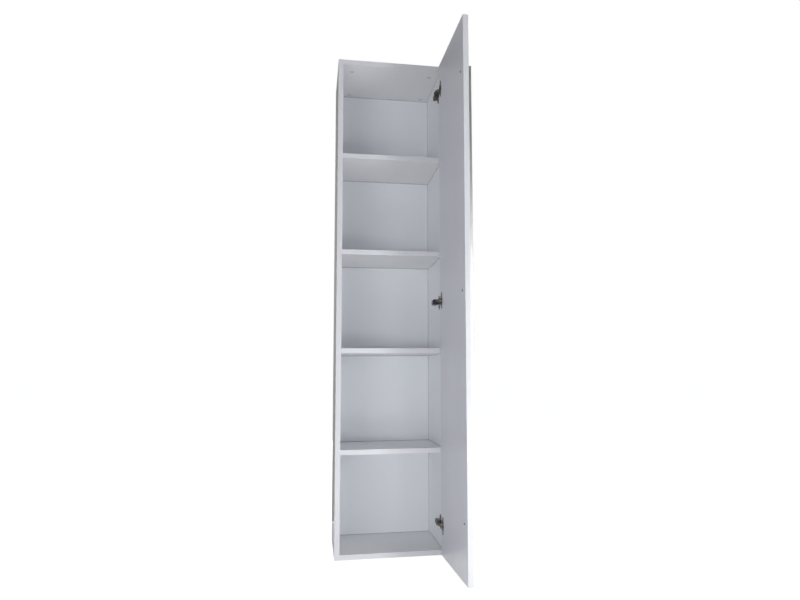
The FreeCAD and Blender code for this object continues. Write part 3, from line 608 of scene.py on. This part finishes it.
def make_dowels():
    """Fluted beech dowels with chamfered ends."""
    end = turned([(0, DOWEL_HALF), (3.0, DOWEL_HALF), (3.45, DOWEL_HALF - 0.4)], 48)
    body = turned([(3.9, DOWEL_HALF - 1.6), (4.0, DOWEL_HALF - 2.2), (4.0, 0),
                   (4.0, 2.2 - DOWEL_HALF), (3.9, 1.6 - DOWEL_HALF)], 48, 0.28)
    tail = turned([(3.45, 0.4 - DOWEL_HALF), (3.0, -DOWEL_HALF), (0, -DOWEL_HALF)], 48)
    dowel = as_mesh(solid(end + body + tail))
    for node, name in (("shelf_dowels", "fluted_shelf_dowels"),
                       ("panel_dowels", "fluted_panel_dowels")):
        places = [(dowel, stand((low + high) / 2, LEFT, 0.2 * k))
                  for k, (low, high) in enumerate(solids_in(node, LEFT))]
        add_piece(name, places, "carcass", "dowel_wood", node)


def make_cam_bolts():
    """A round head held by the cam, a collar on the side and a coarse thread in it."""
    thread = threaded(core=2.2, crest=2.96, pitch=1.9, start=0.0, end=-BOLT_THREAD)
    bolt = headed(BOLT, thread, reach=1.5, half=0.35, depth=1.2)
    places = []
    for low, high in solids_in("cam_bolts", LEFT):
        outward = LEFT if low.x < 0 else -LEFT
        face = max(low, high, key=lambda end: abs(end.x)) - outward * BOLT_THREAD * MM
        places.append((bolt, stand(face, -outward)))
    add_piece("turned_cam_bolts", places, "carcass", "screw_steel", "cam_bolts")


def make_cams():
    """Drums with a mouth for the bolt's head and a cross recess in the open face."""
    mouth = solid(turned(CAM_MOUTH, 32))
    across = Matrix.Translation((0, 0, MOUTH_HEIGHT)) @ Matrix.Rotation(math.pi / 2, 4, "Y")
    bmesh.ops.transform(mouth, matrix=across, verts=mouth.verts)
    plug = cross_plug(4.6, 0.7, 0.0, 2.0)
    bmesh.ops.transform(plug, matrix=Matrix.Rotation(math.pi, 4, "X"), verts=plug.verts)
    drum = carve(solid(turned(CAM_DRUM, 48)), mouth, plug)
    places = [(drum, stand(low, UP, math.pi if low.x < 0 else 0.0))
              for low, _ in solids_in("panel_cams", UP)]
    add_piece("cam_drums", places, "carcass", "cam_zinc", "panel_cams")


def make_covers_and_buffers():
    # press-in covers with a soft rim and a faintly dished middle
    cover = as_mesh(solid(turned(COVER, 48)))
    places = at_tops(cover, "cam_covers", DOWN, COVER_CROWN)
    add_piece("cam_cover_discs", places, "carcass", "cover_plastic", "cam_covers")

    # soft buffers: a dome on a ribbed stem
    dome = as_mesh(solid(turned(BUFFER, 32)))
    places = at_tops(dome, "door_bumpers", DOOR_OUT, DOME_CROWN)
    add_piece("soft_buffers", places, "door", "bumper_rubber", "door_bumpers")


# ---- stage, light and camera ----
def background_ray(nodes, links):
    """1 for rays that show the background: camera, glossy and transmission rays."""
    path = nodes.new("ShaderNodeLightPath")
    first = nodes.new("ShaderNodeMath")
    first.operation = "MAXIMUM"
    links.new(path.outputs["Is Camera Ray"], first.inputs[0])
    links.new(path.outputs["Is Glossy Ray"], first.inputs[1])
    both = nodes.new("ShaderNodeMath")
    both.operation = "MAXIMUM"
    links.new(first.outputs[0], both.inputs[0])
    links.new(path.outputs["Is Transmission Ray"], both.inputs[1])
    return both.outputs[0]


WHITE = rgba(1.0, 1.0, 1.0)
WORLD_LIGHT = 0.2
WORLD_TINT = rgba(0.93, 0.965, 1.0)
FLOOR_RADIUS = 60.0
FLOOR_GLOW = 0.92             # this and a little grey make a white floor that shows shadows
FLOOR_GREY = rgba(0.42, 0.42, 0.42)
FLOOR_PALE, FLOOR_PALER = rgba(0.85, 0.85, 0.85), rgba(0.86, 0.86, 0.86)     # for other rays


def make_world():
    world = bpy.data.worlds.new("studio")
    bpy.context.scene.world = world
    world.use_nodes = True
    nodes, links = world.node_tree.nodes, world.node_tree.links
    nodes.clear()
    light = nodes.new("ShaderNodeBackground")
    light.inputs["Color"].default_value = WORLD_TINT
    light.inputs["Strength"].default_value = WORLD_LIGHT
    white = nodes.new("ShaderNodeBackground")
    white.inputs["Color"].default_value = WHITE
    white.inputs["Strength"].default_value = 1.0
    mix = nodes.new("ShaderNodeMixShader")
    links.new(background_ray(nodes, links), mix.inputs[0])
    links.new(light.outputs[0], mix.inputs[1])
    links.new(white.outputs[0], mix.inputs[2])
    links.new(mix.outputs[0], nodes.new("ShaderNodeOutputWorld").inputs[0])


def make_floor():
    bpy.ops.mesh.primitive_circle_add(vertices=96, radius=FLOOR_RADIUS, fill_type="NGON")
    floor = bpy.context.object
    floor.name = "floor"
    maker = Maker("floor_white")
    soft = maker.spread(maker.noise(2.0, 2.0), 0.0, 1.0)
    lit = maker.add("BsdfDiffuse", Color=maker.blend(soft, FLOOR_PALER, FLOOR_PALE))
    seen = maker.add("BsdfDiffuse", Color=FLOOR_GREY)
    glow = maker.add("Emission", Color=WHITE, Strength=FLOOR_GLOW)
    both = maker.add("AddShader")
    maker.feed(both.inputs[0], seen.outputs[0])
    maker.feed(both.inputs[1], glow.outputs[0])
    mix = maker.add("MixShader")
    maker.feed(mix.inputs[0], background_ray(maker.tree.nodes, maker.tree.links))
    maker.feed(mix.inputs[1], lit.outputs[0])
    maker.feed(mix.inputs[2], both.outputs[0])
    maker.feed(maker.output.inputs["Surface"], mix.outputs[0])
    floor.data.materials.append(maker.material)


# name, centre, place that it faces, width, height, colour
CARDS = (
    ("flag_rear", (-0.9, 2.9, 2.2), (-0.1, 0.0, 1.2), 3.4, 4.4, rgba(0.10, 0.095, 0.09)),
    ("flag_left", (-0.352, 0.2, 1.03), (-0.352, -3.0, 1.03), 0.303, 1.94,
     rgba(0.29, 0.262, 0.25)),
    ("flag_floor", (-0.352, 0.15, 0.004), (-0.352, 0.149, 3.0), 0.303, 0.62,
     rgba(0.50, 0.49, 0.48)),
    ("flag_top", (0.4, -3.2, 2.74), (0.0, 0.0, 1.0), 5.0, 3.0, rgba(0.08, 0.08, 0.08)),
)
# name, place, place that it lights, width, height, watts, whether it shows in reflections
LAMPS = (
    ("key_right", (1.15, -2.6, 0.9), (0.0, 0.0, 0.9), 0.35, 0.35, 12.8, True),
    ("fill_left", (-1.9, -4.0, 0.45), (-1.9, 0.0, 0.45), 2.4, 0.8, 50.0, True),
    ("low_front", (0.9, -2.6, 0.2), (0.1, 0.0, 0.2), 1.0, 0.35, 11.5, True),
    ("base_front", (0.0, -1.05, 0.08), (0.0, -0.16, 0.0), 0.5, 0.16, 0.72, True),
    ("side_right", (3.2, 0.6, 1.5), (0.0, 0.6, 1.5), 2.4, 2.6, 36.0, False),
    ("rear", (-0.3, 4.4, 1.5), (0.0, 0.0, 1.0), 2.6, 2.2, 80.0, True),
    ("side_left", (-2.2, 3.2, 1.4), (-0.2, 0.0, 1.0), 1.6, 2.2, 40.0, True),
    ("over_top", (0.45, 1.3, 3.4), (0.45, 0.1, 1.8), 0.3, 1.0, 26.0, True),
)


def card(name, centre, facing, width, height, colour):
    """A plain card that shows only in reflections. It shades nothing."""
    x, y = width / 2, height / 2
    mesh = bpy.data.meshes.new(name)
    mesh.from_pydata([(-x, -y, 0), (x, -y, 0), (x, y, 0), (-x, y, 0)], [], [(0, 1, 2, 3)])
    made = bpy.data.objects.new(name, mesh)
    bpy.context.scene.collection.objects.link(made)
    turn = (Vector(facing) - Vector(centre)).to_track_quat("Z", "Y")
    made.matrix_world = Matrix.Translation(centre) @ turn.to_matrix().to_4x4()
    maker = Maker(name)
    weave = maker.noise(40.0, 2.0)
    tone = maker.blend(weave, colour, shade(colour, 0.9))
    mesh.materials.append(maker.finish(tone, 0.9))
    made.visible_camera = False
    made.visible_diffuse = False
    made.visible_shadow = False


def lamp(name, place, target, width, height, power, mirrored):
    """A soft area lamp that the camera doesn't see."""
    data = bpy.data.lights.new(name, "AREA")
    data.shape = "RECTANGLE"
    data.size, data.size_y = width, height
    data.energy = power
    made = bpy.data.objects.new(name, data)
    made.visible_camera = False
    made.visible_glossy = mirrored
    bpy.context.scene.collection.objects.link(made)
    turn = (Vector(target) - Vector(place)).to_track_quat("-Z", "Y")
    made.matrix_world = Matrix.Translation(place) @ turn.to_matrix().to_4x4()


def make_camera():
    """Yaw turns the camera to its right, pitch upward, and roll lifts its right side."""
    forward = Vector((math.sin(CAMERA_YAW) * math.cos(CAMERA_PITCH),
                      math.cos(CAMERA_YAW) * math.cos(CAMERA_PITCH), math.sin(CAMERA_PITCH)))
    level = Vector((math.cos(CAMERA_YAW), -math.sin(CAMERA_YAW), 0))
    upright = level.cross(forward)
    right = level * math.cos(CAMERA_ROLL) + upright * math.sin(CAMERA_ROLL)
    up = upright * math.cos(CAMERA_ROLL) - level * math.sin(CAMERA_ROLL)
    data = bpy.data.cameras.new("camera")
    data.sensor_width = SENSOR
    data.lens = FOCAL_PIXELS / IMAGE_WIDTH * SENSOR
    data.shift_x = (IMAGE_WIDTH / 2 - CENTRE_X) / IMAGE_WIDTH
    data.shift_y = (CENTRE_Y - IMAGE_HEIGHT / 2) / IMAGE_WIDTH
    data.clip_end = CAMERA_REACH
    camera = bpy.data.objects.new("camera", data)
    bpy.context.scene.collection.objects.link(camera)
    rows = Matrix((right, up, -forward)).transposed().to_4x4()
    camera.matrix_world = Matrix.Translation(CAMERA_PLACE) @ rows
    bpy.context.scene.camera = camera


dress_cad_nodes()
soften_cad_nodes()
make_screws()
make_pins()
make_dowels()
make_cam_bolts()
make_cams()
make_covers_and_buffers()
make_camera()
make_world()
make_floor()
for lamp_facts in LAMPS:
    lamp(*lamp_facts)
for card_facts in CARDS:
    card(*card_facts)

bpy.context.scene.view_settings.view_transform = "Standard"
